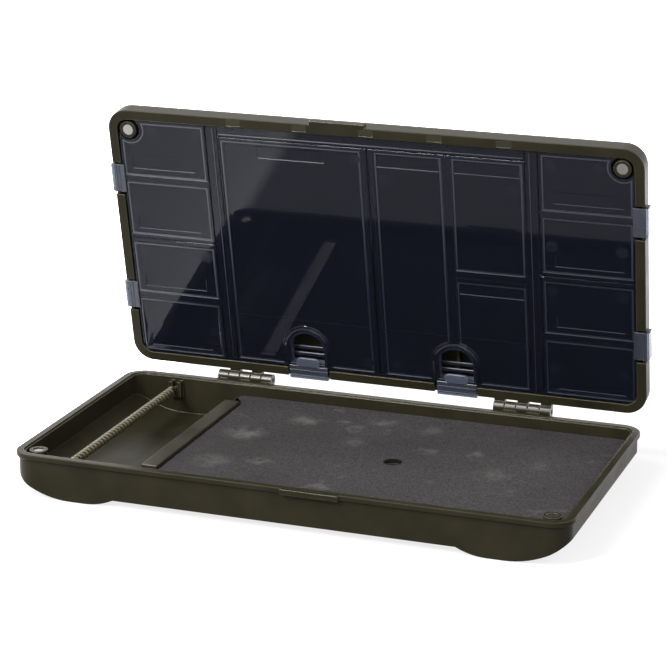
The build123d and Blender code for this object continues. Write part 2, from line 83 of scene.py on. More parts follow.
def newMaterial(name):
    material = bpy.data.materials.new(name)
    material.use_nodes = True
    tree = material.node_tree
    tree.nodes.clear()
    output = addNode(tree, "ShaderNodeOutputMaterial")
    return material, tree, output


def finishMaterial(material, tree, output, shader):
    tree.links.new(shader.outputs[0], output.inputs["Surface"])
    return material


def ramp(tree, factor, stops):
    # from one colour to another, given as two (place, colour) stops
    node = addNode(tree, "ShaderNodeValToRGB", Fac=factor)
    for element, (place, colour) in zip(node.color_ramp.elements, stops):
        element.position = place
        element.color = colour
    return node.outputs["Color"]


def noise(tree, coordinates, sizeMm, detail=2.0, roughness=0.5):
    # sizeMm is the width of one blotch or grain on the real surface
    node = addNode(tree, "ShaderNodeTexNoise", Vector=coordinates, Scale=1 / (sizeMm * mm), Detail=detail,
                   Roughness=roughness)
    return node.outputs["Fac"]


def mapRange(tree, value, fromMin, fromMax, toMin, toMax):
    node = addNode(tree, "ShaderNodeMapRange", Value=value, From_Min=fromMin, From_Max=fromMax,
                   To_Min=toMin, To_Max=toMax)
    return node.outputs["Result"]


def mathNode(tree, operation, first, second):
    return addNode(tree, "ShaderNodeMath", {"operation": operation}, i0=first, i1=second).outputs[0]


def distanceTo(tree, place, spotMm):
    # from a point of the surface to a spot, whose y counts from the tray's middle
    x, y, z = spotMm
    spot = (x * mm, (y + trayMiddleMm) * mm, z * mm)
    away = addNode(tree, "ShaderNodeVectorMath", {"operation": "DISTANCE"}, i0=place, i1=spot)
    return away.outputs["Value"]


def backgroundRays(tree):
    # 1 for rays that show the background: from the camera, mirrored, or through clear plastic
    rays = addNode(tree, "ShaderNodeLightPath").outputs
    seen = mathNode(tree, "MAXIMUM", rays["Is Camera Ray"], rays["Is Glossy Ray"])
    return mathNode(tree, "MAXIMUM", seen, rays["Is Transmission Ray"])


# materials

mouldedShell = {
    "colour": "#29261b", "wearAndEdgeHighlight": "#312d21", "blotchMm": 24, "roughLow": 0.28, "roughHigh": 0.38,
    "grainMm": 0.55, "grainDepthMm": 0.02, "grainStrength": 0.35, "index": 1.49, "specular": 0.065,
    # the edge colour is partly wear and partly a painted highlight along the rounded edges
    "edgeMm": 0.5, "edgeTurn": (0.99, 0.88), "edgeHighlightColour": "#6a644d", "edgeRough": 0.22,
    "edgeSpecular": 0.5, "barrelsMm": (93.9, 33.2), "barrelFadeMm": 0.2,
}


def makeMouldedShell(name, look):
    # polypropylene, injection moulded against a fine spark-eroded tool: an even olive black,
    # a soft sheen that breaks up in fine grain, and slightly rounded edges that catch the light;
    # the edges are painted a paler olive, partly handling wear and partly a painted highlight
    material, tree, output = newMaterial(name)
    place = addNode(tree, "ShaderNodeTexCoord").outputs["Object"]
    blotch = noise(tree, place, look["blotchMm"], 3)
    grain = noise(tree, place, look["grainMm"], 2)
    colour = ramp(tree, blotch, [(0.35, srgb(look["colour"])), (0.7, srgb(look["wearAndEdgeHighlight"]))])
    edge = addNode(tree, "ShaderNodeBevel", {"samples": 4}, Radius=look["edgeMm"] * mm)
    bump = addNode(tree, "ShaderNodeBump", Strength=look["grainStrength"],
                   Distance=look["grainDepthMm"] * mm, Height=grain, Normal=edge.outputs["Normal"])
    rough = mapRange(tree, blotch, 0.3, 0.7, look["roughLow"], look["roughHigh"])
    # the rounding turns the normal away from the flat one, which shows where the edges are
    flat = addNode(tree, "ShaderNodeNewGeometry").outputs["Normal"]
    same = addNode(tree, "ShaderNodeVectorMath", {"operation": "DOT_PRODUCT"},
                   i0=edge.outputs["Normal"], i1=flat)
    wearAndEdgeHighlight = mapRange(tree, same.outputs["Value"], *look["edgeTurn"], 0, 1)
    # the hinge barrels behind the flange come out of a polished part of the mould
    behindMiddle, below = look["barrelsMm"]
    behind, fade = behindMiddle + trayMiddleMm, look["barrelFadeMm"]
    parts = addNode(tree, "ShaderNodeSeparateXYZ", Vector=place).outputs
    isBehind = mapRange(tree, parts["Y"], behind * mm, (behind + fade) * mm, 0, 1)
    isBelow = mapRange(tree, parts["Z"], below * mm, (below + fade) * mm, 1, 0)
    barrel = mathNode(tree, "MULTIPLY", isBehind, isBelow)
    shiny = mathNode(tree, "MAXIMUM", wearAndEdgeHighlight, barrel)
    rough = addNode(tree, "ShaderNodeMix", Factor=shiny, A=rough, B=look["edgeRough"]).outputs[0]
    specular = mapRange(tree, shiny, 0, 1, look["specular"], look["edgeSpecular"])
    # painted highlight: the edges take the paler edge colour, with some handling wear
    tint = addNode(tree, "ShaderNodeMix", {"data_type": "RGBA"}, i0=wearAndEdgeHighlight, i6=colour,
                   i7=srgb(look["edgeHighlightColour"]))
    shader = addNode(tree, "ShaderNodeBsdfPrincipled", Base_Color=tint.outputs[2], Roughness=rough,
                     Normal=bump.outputs["Normal"], IOR=look["index"], Specular_IOR_Level=specular)
    return finishMaterial(material, tree, output, shader)


smokeStyrene = {"colour": "#565d75", "rough": 0.03, "clear": 0.94, "index": 1.235}


def makeSmokeStyrene(name, look):
    # smoke-clear polystyrene, polished mould: nearly black over the dark cells, with sharp
    # reflections
    material, tree, output = newMaterial(name)
    shader = addNode(tree, "ShaderNodeBsdfPrincipled", Base_Color=srgb(look["colour"]),
                     Roughness=look["rough"], IOR=look["index"], Transmission_Weight=look["clear"])
    return finishMaterial(material, tree, output, shader)


satinStyrene = {
    "colour": "#1d2434", "rough": 0.34, "clear": 0.3, "index": 1.58,
    "grainMm": 0.4, "grainDepthMm": 0.01, "grainStrength": 0.4,
}


def makeSatinStyrene(name, look):
    # the same smoke plastic where the mould is left satin or the piece is thick: it scatters
    # light and looks a milky blue grey
    material, tree, output = newMaterial(name)
    place = addNode(tree, "ShaderNodeTexCoord").outputs["Object"]
    grain = noise(tree, place, look["grainMm"], 2)
    bump = addNode(tree, "ShaderNodeBump", Strength=look["grainStrength"],
                   Distance=look["grainDepthMm"] * mm, Height=grain)
    shader = addNode(tree, "ShaderNodeBsdfPrincipled", Base_Color=srgb(look["colour"]),
                     Roughness=look["rough"], Normal=bump.outputs["Normal"], IOR=look["index"],
                     Transmission_Weight=look["clear"])
    return finishMaterial(material, tree, output, shader)


closedCellFoam = {
    "colour": "#292728", "pale": "#373536", "chalk": "#807e79", "rough": 0.92, "index": 1.45, "specular": 0.3,
    "cellMm": 0.9, "cellDepthMm": 0.12, "cellStrength": 0.5, "driftMm": 78, "smudgeMm": 26,
    "smudgeShade": 0.35, "speckleMm": 0.95, "speckleAndHoleShade": (0.4, 1.6), "topMm": 20.6,
    "patchMm": 11, "patchEdge": (0.36, 0.66),
    # x and y from the tray's middle, reach, strength
    "handMarksMm": [(-65, 14, 17, 0.4), (-36, 50, 14, 0.4), (-65, -42, 15, 0.32), (13, 64, 11, 0.32),
                    (8, 20, 12, 0.22), (108, -8, 15, 0.22), (132, 18, 10, 0.17), (48, 58, 11, 0.2)],
    # painted shade in the finger hole: the height it centres on, its reach, and its darkest level
    "holeShadeFootMm": 17.6, "holeShadeReachMm": (6.3, 6.9), "holePaintedShade": 0.08,
}


def makeClosedCellFoam(name, look):
    # EVA foam with its cut skin: charcoal, matte, fine cells, pale handling marks, and painted shade down the
    # finger hole
    material, tree, output = newMaterial(name)
    place = addNode(tree, "ShaderNodeTexCoord").outputs["Object"]
    cells = noise(tree, place, look["cellMm"], 2, 0.6)
    drift = noise(tree, place, look["driftMm"], 2)
    smudge = noise(tree, place, look["smudgeMm"], 4, 0.62)
    base = ramp(tree, drift, [(0.3, srgb(look["colour"])), (0.75, srgb(look["pale"]))])
    shade = look["smudgeShade"]
    marks = ramp(tree, smudge, [(0.62, (0, 0, 0, 1)), (0.78, (shade, shade, shade, 1))])
    # pale touches where the sheet is handled: round patches broken up by a finer noise
    broken = mapRange(tree, noise(tree, place, look["patchMm"], 3, 0.6), *look["patchEdge"], 0, 1)
    for x, y, reach, strength in look["handMarksMm"]:
        away = distanceTo(tree, place, (x, y, look["topMm"]))
        near = mapRange(tree, away, reach * 0.3 * mm, reach * mm, strength, 0)
        touch = mathNode(tree, "MULTIPLY", near, broken)
        marks = mathNode(tree, "MAXIMUM", marks, touch)
    speckleAndHoleShade = mapRange(tree, noise(tree, place, look["speckleMm"], 1), 0.3, 0.7, *look["speckleAndHoleShade"])
    # painted shade: the wall of the finger hole is darkened, most at its foot and fading out toward the top
    # edge
    holeX, holeY, _ = fingerHoleMm
    darkestReach, shadeEndReach = look["holeShadeReachMm"]
    away = distanceTo(tree, place, (holeX, holeY, look["holeShadeFootMm"]))
    holeShade = mapRange(tree, away, darkestReach * mm, shadeEndReach * mm, look["holePaintedShade"], 1)
    # the speckle now also carries the painted shade of the finger hole
    speckleAndHoleShade = mathNode(tree, "MULTIPLY", speckleAndHoleShade, holeShade)
    base = addNode(tree, "ShaderNodeVectorMath", {"operation": "SCALE"}, i0=base, Scale=speckleAndHoleShade)
    colour = addNode(tree, "ShaderNodeMix", {"data_type": "RGBA"}, i0=marks, i6=base.outputs["Vector"],
                     i7=srgb(look["chalk"]))
    bump = addNode(tree, "ShaderNodeBump", Strength=look["cellStrength"],
                   Distance=look["cellDepthMm"] * mm, Height=cells)
    shader = addNode(tree, "ShaderNodeBsdfPrincipled", Base_Color=colour.outputs[2],
                     Roughness=look["rough"], Normal=bump.outputs["Normal"], IOR=look["index"],
                     Specular_IOR_Level=look["specular"])
    return finishMaterial(material, tree, output, shader)


coatedSpring = {"colour": "#4a4431", "pale": "#625b46", "blotchMm": 5, "rough": 0.34, "index": 1.5}


def makeCoatedSpring(name, look):
    # spring wire in a thin khaki enamel, dip coated: satin, a touch uneven along the wire
    material, tree, output = newMaterial(name)
    place = addNode(tree, "ShaderNodeTexCoord").outputs["Object"]
    blotch = noise(tree, place, look["blotchMm"], 2)
    colour = ramp(tree, blotch, [(0.3, srgb(look["colour"])), (0.7, srgb(look["pale"]))])
    shader = addNode(tree, "ShaderNodeBsdfPrincipled", Base_Color=colour, Roughness=look["rough"],
                     IOR=look["index"])
    return finishMaterial(material, tree, output, shader)


nickelMagnet = {"colour": "#7c7a77", "edgeMm": 0.3, "scratchMm": 0.5, "rough": (0.25, 0.4)}


def makeNickelMagnet(name, look):
    # nickel-plated magnet disc, tumbled before plating: soft grey metal with faint scuffs
    material, tree, output = newMaterial(name)
    place = addNode(tree, "ShaderNodeTexCoord").outputs["Object"]
    scuff = noise(tree, place, look["scratchMm"], 3)
    rough = mapRange(tree, scuff, 0.3, 0.7, *look["rough"])
    edge = addNode(tree, "ShaderNodeBevel", {"samples": 4}, Radius=look["edgeMm"] * mm)
    shader = addNode(tree, "ShaderNodeBsdfPrincipled", Base_Color=srgb(look["colour"]), Metallic=1.0,
                     Roughness=rough, Normal=edge.outputs["Normal"])
    return finishMaterial(material, tree, output, shader)


drawnPin = {"colour": "#a9a9a6", "lineMm": 0.15, "stretch": 0.05, "rough": (0.2, 0.34)}


def makeDrawnPin(name, look):
    # bright drawn steel rod with fine lines along its length
    material, tree, output = newMaterial(name)
    place = addNode(tree, "ShaderNodeTexCoord").outputs["Object"]
    along = addNode(tree, "ShaderNodeMapping", Vector=place, Scale=(look["stretch"], 1, 1)).outputs[0]
    lines = noise(tree, along, look["lineMm"], 1)
    rough = mapRange(tree, lines, 0.3, 0.7, *look["rough"])
    shader = addNode(tree, "ShaderNodeBsdfPrincipled", Base_Color=srgb(look["colour"]), Metallic=1.0,
                     Roughness=rough)
    return finishMaterial(material, tree, output, shader)


shellPlastic = makeMouldedShell("moulded polypropylene, olive black", mouldedShell)
# the board's paler edge colour is likewise partly wear and partly a painted highlight
boardPlastic = makeMouldedShell("moulded polypropylene, olive board",
                                dict(mouldedShell, colour="#2e2b20", wearAndEdgeHighlight="#37342a", specular=0.5,
                                     edgeHighlightColour="#3f3b2d"))
inlayPlastic = makeMouldedShell("moulded polypropylene, smooth inlay",
                                dict(mouldedShell, colour="#383529", wearAndEdgeHighlight="#3b382c", grainDepthMm=0.005,
                                     edgeHighlightColour="#383529", edgeSpecular=0.1))
smokePlastic = makeSmokeStyrene("smoke-clear polystyrene", smokeStyrene)
satinPlastic = makeSatinStyrene("smoke polystyrene, satin ribs and latches", satinStyrene)
# the bevels are a lighter, hazier copy of the smoke plastic: a painted highlight along the edges of pockets
# and ribs
edgePlastic = makeSatinStyrene("smoke polystyrene, bevels with painted highlight",
                               dict(satinStyrene, colour="#2b3345", rough=0.26, clear=0.6, index=1.22))
frostPlastic = makeSatinStyrene("smoke polystyrene, ejector marks",
                                dict(satinStyrene, colour="#4a5168", rough=0.2, clear=0.88, index=1.27))
milkyPlastic = makeSatinStyrene("smoke polystyrene, thick latches",
                                dict(satinStyrene, colour="#6c7385", rough=0.28, clear=0.5, index=1.4))
cloudyPlastic = makeSatinStyrene("smoke polystyrene, side latches",
                                 dict(satinStyrene, colour="#747b8c", rough=0.2, clear=0.8, index=1.4))
foamSkin = makeClosedCellFoam("closed-cell EVA foam", closedCellFoam)
springCoat = makeCoatedSpring("khaki enamelled spring steel", coatedSpring)
magnetNickel = makeNickelMagnet("nickel-plated magnet", nickelMagnet)
pinSteel = makeDrawnPin("bright drawn steel", drawnPin)

slotMaterials = {
    "shell": shellPlastic, "board": boardPlastic, "foam": foamSkin, "clear": smokePlastic,
    "spring": springCoat, "magnet": magnetNickel, "pin": pinSteel,
}
for part in frame["record"]["subparts"]:
    piece = nodes[part["node"]]
    piece.data.materials.clear()
    piece.data.materials.append(slotMaterials[part["material_slot"]])
print("materials on", len(nodes), "CAD pieces")


# meshes

def meshObject(name, points, faces, materials):
    mesh = bpy.data.meshes.new(name)
    mesh.from_pydata(np.asarray(points).tolist(), [], [list(map(int, f)) for f in faces])
    for material in materials:
        mesh.materials.append(material)
    mesh.update()
    piece = bpy.data.objects.new(name, mesh)
    bpy.context.scene.collection.objects.link(piece)
    return piece


def meshPiece(name, points, faces, material, body, smooth=True):
    piece = meshObject(name, points, faces, [material])
    piece.data.polygons.foreach_set("use_smooth", [smooth] * len(faces))
    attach(piece, body)
    return piece


def gridFaces(rows, columns, closeRows=False, closeColumns=False, start=0):
    # quads between neighbouring points of a grid, wrapped round where a direction closes
    r = np.arange(rows if closeRows else rows - 1)
    c = np.arange(columns if closeColumns else columns - 1)
    r, c = np.meshgrid(r, c, indexing="ij")
    r2, c2 = (r + 1) % rows, (c + 1) % columns
    quads = np.stack([r * columns + c, r * columns + c2, r2 * columns + c2, r2 * columns + c], -1)
    return quads.reshape(-1, 4) + start


def roundedPolygon(corners, steps):
    # anticlockwise outline of square corners (x, y, radius), each rounded by a quarter circle
    places = np.array([c[:2] for c in corners], float)
    before, after = places - np.roll(places, 1, 0), np.roll(places, -1, 0) - places
    before /= np.linalg.norm(before, axis=1)[:, None]
    after /= np.linalg.norm(after, axis=1)[:, None]
    loop = []
    for place, way, nextWay, corner in zip(places, before, after, corners):
        radius = corner[2]
        turn = np.linspace(0, np.pi / 2, steps if radius > 0 else 1)[:, None]
        centre = place - way * radius + nextWay * radius
        loop.append(centre - nextWay * radius * np.cos(turn) + way * radius * np.sin(turn))
    return np.concatenate(loop)


def rectangle(x0, x1, up0, up1, radius=0.0, steps=4):
    return roundedPolygon([(x0, up0, radius), (x1, up0, radius), (x1, up1, radius), (x0, up1, radius)], steps)


def insideMany(points, loop):
    # even-odd rule for many points at once: count the outline's edges to the right of each
    a, b = loop, np.roll(loop, -1, 0)
    py = points[:, 1:2]
    cross = (a[:, 1] > py) != (b[:, 1] > py)
    at = a[:, 0] + (py - a[:, 1]) / np.where(cross, b[:, 1] - a[:, 1], 1) * (b[:, 0] - a[:, 0])
    return (cross & (at > points[:, :1])).sum(1) % 2 == 1


def insetLoop(loop, distance):
    # every point moves in along the mean of its two edge normals, further at a corner, though
    # never by more than about three times the distance
    before, after = np.roll(loop, 1, 0), np.roll(loop, -1, 0)

    def normal(a, b):
        d = b - a
        n = np.stack([-d[:, 1], d[:, 0]], -1)
        return n / np.linalg.norm(n, axis=1)[:, None]

    first, second = normal(before, loop), normal(loop, after)
    mean = first + second
    mean /= np.maximum((mean * first).sum(1), 0.3)[:, None]
    return loop + mean * distance


# rig spring

rigSpring = {
    "xMm": -144.5, "zMm": 20.5, "coilMm": 1.85, "wireMm": 1.15, "turns": 35, "halfMm": 76.75, "leadMm": 4.7,
    "leadSteps": 14, "tailMm": 4.0, "sides": 10, "perTurn": 22,
}


def makeRigSpring(look):
    # centre line: a helix about Y whose radius eases from zero at both ends, so the wire
    # turns in to the axis and runs straight through the forks; then a circle carried along it
    turns, half, lead, sides = look["turns"], look["halfMm"], look["leadMm"], look["sides"]
    t = np.linspace(0, 1, turns * look["perTurn"] + 1)
    y = -half + 2 * half * t
    angle = 2 * np.pi * turns * t
    line = np.stack([look["coilMm"] * np.sin(angle), y, look["coilMm"] * np.cos(angle)], -1)
    ease = np.linspace(0, 1, look["leadSteps"])
    swing = 0.5 - 0.5 * np.cos(np.pi * ease)
    leadIn = np.stack([0 * ease, -half - lead * (1 - ease), look["coilMm"] * swing], -1)
    leadOut = leadIn[::-1] * (1, -1, 1)
    tail = look["tailMm"]
    start = np.array([[0, -half - lead - tail, 0], [0, -half - lead - tail * 0.5, 0]])
    line = np.concatenate([start, leadIn[:-1], line, leadOut[1:], start[::-1] * (1, -1, 1)])
    line += (look["xMm"], trayMiddleMm, look["zMm"])
    way = np.gradient(line, axis=0)
    way /= np.linalg.norm(way, axis=1)[:, None]
    # the circle's first direction is away from the axis, or up where the wire lies on it
    out = line * (1, 0, 1) - (look["xMm"], 0, look["zMm"])
    out = np.where(np.linalg.norm(out, axis=1)[:, None] > 0.05, out, (0, 0, 1.0))
    side = np.cross(way, out)
    side /= np.linalg.norm(side, axis=1)[:, None]
    up = np.cross(side, way)
    ring = np.linspace(0, 2 * np.pi, sides, endpoint=False)
    tube = line[:, None] + look["wireMm"] * (np.cos(ring)[None, :, None] * side[:, None]
                                             + np.sin(ring)[None, :, None] * up[:, None])
    faces = gridFaces(len(line), sides, closeColumns=True).tolist()
    last = (len(line) - 1) * sides
    faces += [list(range(sides))[::-1], [last + n for n in range(sides)]]
    return tube.reshape(-1, 3) * mm, [f[::-1] for f in faces]


points, faces = makeRigSpring(rigSpring)
springPiece = meshPiece("rig_spring_wire", points, faces, springCoat, "base")
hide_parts("rig_spring")
print("rig spring", len(faces), "faces")


# foam sheet

foamSheet = {
    "edgeMm": 1.1, "edgeSteps": 5, "cornerMm": 6.4, "cornerSteps": 9, "holeEdgeMm": 0.7, "holeSides": 40,
    "postMm": (158.9, -71.55, 7.1), "stripMm": (-89.6, 68.7), "stripCornerMm": 0.5, "dentMm": 0.18,
    "gridMm": 5, "gridFromMm": 4, "gridToMm": 3, "gridEdgeMm": 2.5, "gridHoleMm": 3,
}


def makeFoamSheet(look):
    # an outline notched for the board's strip and the magnet post, walls with a rounded upper
    # edge, and a grid of points on top that sums of sines press in by a fraction of a mm
    low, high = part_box("foam_pad")
    xMin, xMax = low.x / mm, high.x / mm
    yMin, yMax = low.y / mm, high.y / mm
    zMin, zMax = low.z / mm, high.z / mm
    postX, postY, postRadius = look["postMm"]
    stripX, stripY = look["stripMm"]
    corner, notch, middle = look["cornerMm"], look["stripCornerMm"], trayMiddleMm
    loop = roundedPolygon([
        (xMax, yMax, corner), (xMin, yMax, corner), (xMin, middle + stripY, notch),
        (stripX, middle + stripY, notch), (stripX, middle - stripY, notch), (xMin, middle - stripY, notch),
        (xMin, yMin, corner), (postX, yMin, 0), (postX, middle + postY, postRadius),
        (xMax, middle + postY, 0),
    ], look["cornerSteps"])
    hx, hy, hr = fingerHoleMm
    ring = np.linspace(0, 2 * np.pi, look["holeSides"], endpoint=False)
    hole = np.stack([hx + hr * np.cos(ring), hy + middle + hr * np.sin(ring)], -1)
    points, faces = [], []

    def wall(path, edge, sign):
        # from the bottom edge up the side and over a quarter-round on to the top
        nonlocal points, faces
        turn = np.linspace(0, np.pi / 2, look["edgeSteps"])
        levels = [(0.0, zMin), (0.0, zMax - edge)]
        levels += [(edge * (1 - math.cos(a)), zMax - edge + edge * math.sin(a)) for a in turn[1:]]
        start = len(points)
        for inset, z in levels:
            points += [(x, y, z) for x, y in insetLoop(path, sign * inset)]
        quads = gridFaces(len(levels), len(path), closeColumns=True, start=start)
        faces += (quads[:, ::-1] if sign < 0 else quads).tolist()
        return start, start + (len(levels) - 1) * len(path), len(path)

    outerFoot, outerTop, outerCount = wall(loop, look["edgeMm"], 1)
    innerFoot, innerTop, innerCount = wall(hole, look["holeEdgeMm"], -1)
    fromMm, toMm, gap = look["gridFromMm"], look["gridToMm"], look["gridMm"]
    xs = np.arange(xMin + fromMm, xMax - toMm, gap)
    ys = np.arange(yMin + fromMm, yMax - toMm, gap)
    gx, gy = np.meshgrid(xs, ys, indexing="ij")
    grid = np.stack([gx.ravel(), gy.ravel()], -1)
    clearOfHole = np.hypot(grid[:, 0] - hx, grid[:, 1] - hy - middle) > hr + look["gridHoleMm"]
    clearOfEdge = insideMany(grid, insetLoop(loop, look["gridEdgeMm"]))
    grid = grid[clearOfHole & clearOfEdge]
    holeCentre = np.array([hx, hy + middle])
    edges = [(n, (n + 1) % outerCount) for n in range(outerCount)]
    edges += [(outerCount + n, outerCount + (n + 1) % innerCount) for n in range(innerCount)]
    for upper in (True, False):
        ids = [(outerTop if upper else outerFoot) + n for n in range(outerCount)]
        ids += [(innerTop if upper else innerFoot) + n for n in range(innerCount)]
        flat = [points[i][:2] for i in ids]
        if upper:
            flat += grid.tolist()
            ids += range(len(points), len(points) + len(grid))
            points += [(x, y, zMax) for x, y in grid.tolist()]
        spots, _, triangles, sources, *_ = delaunay_2d_cdt([Vector(p) for p in flat], edges, [], 1, 1e-6)
        for face in triangles:
            centre = np.mean([spots[i] for i in face], axis=0)
            if np.linalg.norm(centre - holeCentre) < hr or any(not sources[i] for i in face):
                continue
            if not insideMany(centre[None], loop)[0]:
                continue
            real = [ids[sources[i][0]] for i in face]
            faces.append(real if upper else real[::-1])
    points = np.array(points)
    top = points[:, 2] > zMax - 0.01
    x, y = points[:, 0], points[:, 1]
    soft = np.sin(x / 31) * np.cos(y / 23) + np.sin(x / 13 + y / 17)
    points[top, 2] -= look["dentMm"] * (0.5 + 0.25 * soft[top])
    return points * mm, faces


points, faces = makeFoamSheet(foamSheet)
foamPiece = meshPiece("foam_sheet", points, faces, foamSkin, "board")
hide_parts("foam_pad")
print("foam sheet", len(faces), "faces")


# covers, drawn face on: x to the right, up from the hinge edge of the lid, rise toward the viewer

lidPose = {
    "hingeYMm": 98.0, "hingeZMm": 28.6, "openDegrees": 79, "rimZMm": 28.2, "backYMm": 92.25, "recessMm": 1.4,
}


def openLid(points, look):
    # face-on millimetres to the open lid in metres: first the closed lid, whose face looks
    # down, then a turn about the hinge line
    y = look["backYMm"] - points[:, 1] - look["hingeYMm"]
    z = look["rimZMm"] + look["recessMm"] - points[:, 2] - look["hingeZMm"]
    turn = math.radians(look["openDegrees"])
    c, s = math.cos(turn), math.sin(turn)
    back = look["hingeYMm"] + y * c + z * s + trayMiddleMm
    high = look["hingeZMm"] - y * s + z * c
    return np.stack([points[:, 0], back, high], -1) * mm


def archLoop(x, radius, top, foot, steps=28):
    # an upright slot with a half-circle on top
    turn = np.linspace(0, np.pi, steps)
    cap = np.stack([x + radius * np.cos(turn), top - radius + radius * np.sin(turn)], -1)
    return np.concatenate([[[x - radius, foot], [x + radius, foot]], cap])


def loopArea(loop):
    # half the sum of the cross products of neighbouring points
    after = np.roll(loop, -1, 0)
    return abs((loop[:, 0] * after[:, 1] - after[:, 0] * loop[:, 1]).sum()) / 2


def fillLoops(outline, holes, steps):
    # constrained Delaunay triangles of a face; each step is (loop, rise, material inside it)
    flat, edges, rises = [], [], []
    for loop, rise, _ in [outline] + holes + steps:
        start = len(flat)
        flat += [Vector(p) for p in loop]
        rises += [rise] * len(loop)
        edges += [(start + n, start + (n + 1) % len(loop)) for n in range(len(loop))]
    spots, _, faces, sources, *_ = delaunay_2d_cdt(flat, edges, [], 0, 1e-5)
    spots = np.array([v[:] for v in spots])
    heights = np.array([rises[source[0]] if source else 0.0 for source in sources])
    centres = np.array([spots[list(f)].mean(0) for f in faces])
    keep = insideMany(centres, outline[0])
    for hole in holes:
        keep &= ~insideMany(centres, hole[0])
    # smaller loops come last, so a step's floor keeps its own material
    kinds = np.full(len(faces), outline[2])
    for loop, _, kind in sorted(steps, key=lambda step: -loopArea(step[0])):
        kinds[insideMany(centres, loop)] = kind
    faces = [f for f, k in zip(faces, keep) if k]
    return np.column_stack([spots, heights]), faces, kinds[keep].tolist()


class Sheets:
    # points, faces and material numbers of one piece, gathered sheet by sheet
    def __init__(self):
        self.points, self.faces, self.kinds = [], [], []
        self.count = 0

    def add(self, points, faces, kinds):
        self.points.append(np.asarray(points, float))
        self.faces += [[i + self.count for i in f] for f in faces]
        self.kinds += kinds if isinstance(kinds, list) else [kinds] * len(faces)
        self.count += len(points)

    def ladder(self, loops, kinds, outward=True, closed=False):
        # a wall through loops of equal length, given as (loop, rise)
        size = len(loops[0][0])
        points = np.concatenate([np.column_stack([loop, np.full(size, rise)]) for loop, rise in loops])
        quads = gridFaces(len(loops), size, closeRows=closed, closeColumns=True)
        if outward:
            quads = quads[:, ::-1]
        each = kinds if isinstance(kinds, list) else [kinds] * (len(quads) // size)
        self.add(points, quads.tolist(), [each[n // size] for n in range(len(quads))])


polished, satin, glint, milky, frosted, cloudy = range(6)

coverLook = {
    "thickMm": 1.5, "chamferMm": 0.35, "panelDropMm": 0.35, "panelBevelMm": 0.5, "bandMm": 1.0,
    "windowDropMm": 0.3, "windowBevelMm": 0.45, "skirtMm": 1.2, "skirtWidthMm": 1.0, "sinkMm": 0.1,
    "tubeMm": 6.5, "tubeWallMm": 0.9, "tabEdgeMm": 0.3, "slabEdgeMm": 0.35,
    "ejectorMm": 4.0, "ejectorLipMm": 0.3, "ejectorDropMm": 0.06,
}


def recess(loop, drop, bevel, inner, rise=0.0):
    # a flat pocket whose sides slope in
    return [(loop, rise, glint), (insetLoop(loop, bevel), rise - drop, inner)]


def ridge(loop, height, bevel, top=satin):
    # a flat-topped rib
    return [(loop, 0.0, glint), (insetLoop(loop, bevel), height, top)]


def makeCover(plan, look):
    # plate with pockets, windows and ribs in front, skirts behind
    sheets = Sheets()
    chamfer, thick, start = look["chamferMm"], look["thickMm"], look["sinkMm"] - look["thickMm"]
    outline, holes, ring = plan["outline"], plan.get("holes", []), plan.get("ringRise", 0.0)
    fronts = [(insetLoop(hole, -chamfer), ring, polished) for hole in holes]
    points, faces, kinds = fillLoops((insetLoop(outline, chamfer), 0.0, polished), fronts, plan["steps"])
    if "quiet" in plan:
        # round the thumb arch the steps are polished all over
        centres = np.array([points[list(f), :2].mean(0) for f in faces])
        kinds = np.where(insideMany(centres, plan["quiet"]), polished, kinds).tolist()
    sheets.add(points, faces, kinds)
    backs = [(hole, -thick, polished) for hole in holes]
    points, faces, kinds = fillLoops((outline, -thick, polished), backs, [])
    sheets.add(points, [f[::-1] for f in faces], kinds)
    sheets.ladder([(insetLoop(outline, chamfer), 0.0), (outline, -chamfer), (outline, -thick)], polished)
    for hole in holes:
        # the edge of the thumb hole, then a short tube behind it
        sheets.ladder([(insetLoop(hole, -chamfer), ring), (hole, ring - chamfer), (hole, -thick)],
                      [glint, satin], outward=False)
        outer, deep = insetLoop(hole, -look["tubeWallMm"]), look["tubeMm"]
        sheets.ladder([(outer, start), (outer, -deep), (hole, -deep), (hole, start)], milky, closed=True)
    deep = thick + look["skirtMm"]
    for skirt in plan["skirts"]:
        inner = insetLoop(skirt, look["skirtWidthMm"])
        sheets.ladder([(skirt, start), (skirt, -deep), (inner, -deep), (inner, start)], satin, closed=True)
    for along, low, high, profile in plan["tabs"]:
        addTab(sheets, along, low, high, profile, look["tabEdgeMm"])
    for loop, low, high, kind in plan.get("slabs", []):
        addSlab(sheets, loop, low, high, kind, look["slabEdgeMm"])
    return sheets


def addTab(sheets, along, low, high, profile, edge):
    # a profile (across, rise) carried along x or up, with its ends drawn in a little
    rows = [(low, edge), (low + edge, 0.0), (high - edge, 0.0), (high, edge)]
    size = len(profile)
    blocks = []
    for place, inset in rows:
        shape = insetLoop(profile, inset)
        column = np.full(size, place)
        columns = [column, shape] if along == "x" else [shape[:, 0], column, shape[:, 1]]
        blocks.append(np.column_stack(columns))
    last = (len(rows) - 1) * size
    faces = gridFaces(len(rows), size, closeColumns=True).tolist()
    faces += [list(range(size))[::-1], [last + n for n in range(size)]]
    sheets.add(np.concatenate(blocks), faces if along == "x" else [f[::-1] for f in faces], cloudy)


def addSlab(sheets, loop, low, high, kind, edge):
    # a small plate with chamfered edges
    start, size = sheets.count, len(loop)
    sheets.ladder([(insetLoop(loop, edge), high), (loop, high - edge), (loop, low)], kind)
    sheets.faces += [[start + n for n in range(size)], [start + 2 * size + n for n in range(size)][::-1]]
    sheets.kinds += [kind, kind]


def arc(x, up, radius, first, last, steps):
    # part of a circle between two angles in degrees
    turn = np.radians(np.linspace(first, last, steps))
    return np.stack([x + radius * np.cos(turn), up + radius * np.sin(turn)], -1)


